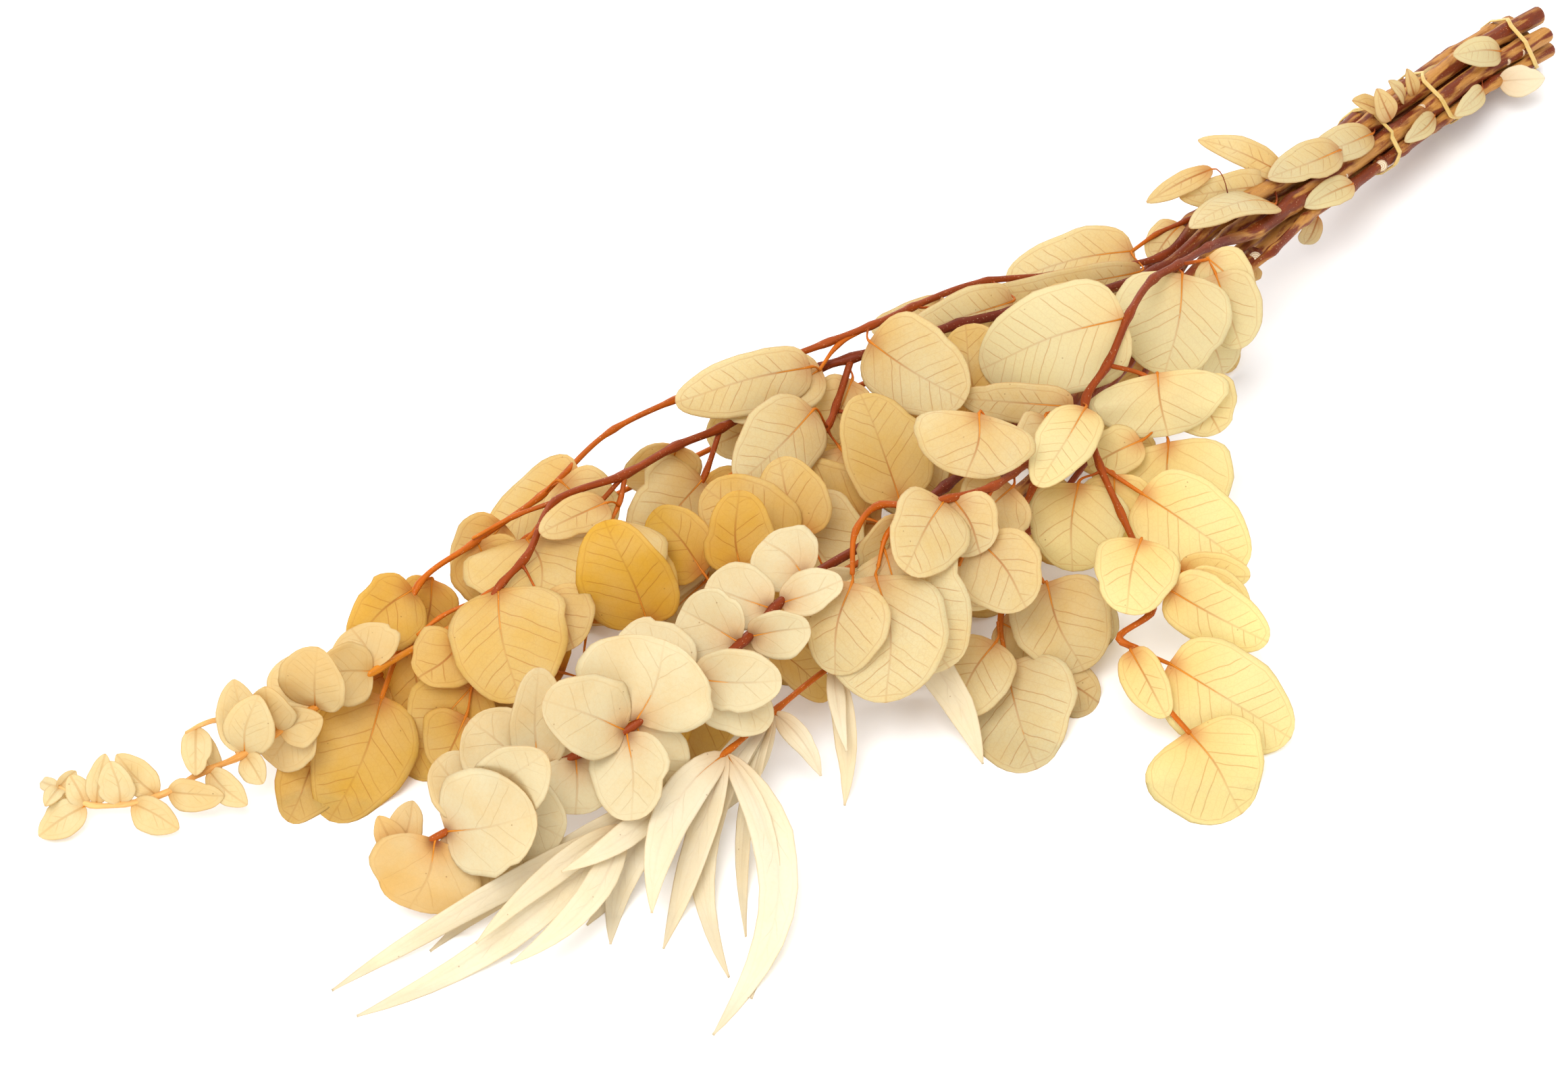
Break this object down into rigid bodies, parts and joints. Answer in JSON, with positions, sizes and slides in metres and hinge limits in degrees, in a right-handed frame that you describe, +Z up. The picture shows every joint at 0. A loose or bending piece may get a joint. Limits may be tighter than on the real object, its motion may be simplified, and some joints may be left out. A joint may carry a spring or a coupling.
{
  "type": "bunch of dried eucalyptus",
  "caption": "Dried, bleached eucalyptus lying down: woody stems held by elastic bands, fanning out into round, oval and willow-shaped cream and gold leaves.",
  "frame": {"origin": "under the middle of the bunch, on the surface it lies on", "axes": "+X towards the cut stem ends, +Z up from the surface, +Y towards the back of the bunch as it is pictured"},
  "size_m": [0.7026, 0.2568, 0.0857],
  "materials": {
    "leaf": "dry, thin, slightly waxy leaf, cream to golden, with orange-brown veins; light shines through",
    "round_leaf": "dry, thin cream leaf, darker red-brown where the pairs join the stem",
    "willow_leaf": "dry, thin, nearly white ribbon leaf",
    "bark": "thin smooth bark, red-brown patches over tan, orange on the young twigs",
    "elastic": "yellow elastic, slightly shiny"
  },
  "bodies": {
    "root": {"leafy_stem_top": "leaf", "leafy_stem_dark_red": "leaf", "leafy_stem_right": "leaf", "leafy_stem_front": "leaf", "round_leaved_stem": "round_leaf", "willow_leaved_stem": "willow_leaf", "small_leaved_spray": "round_leaf", "leafy_stem_under": "leaf", "leafy_stem_back": "leaf", "bare_woody_stem": "bark", "elastic_band_end": "elastic", "elastic_band_middle": "elastic", "elastic_band_inner": "elastic"}
  },
  "joints": []
}
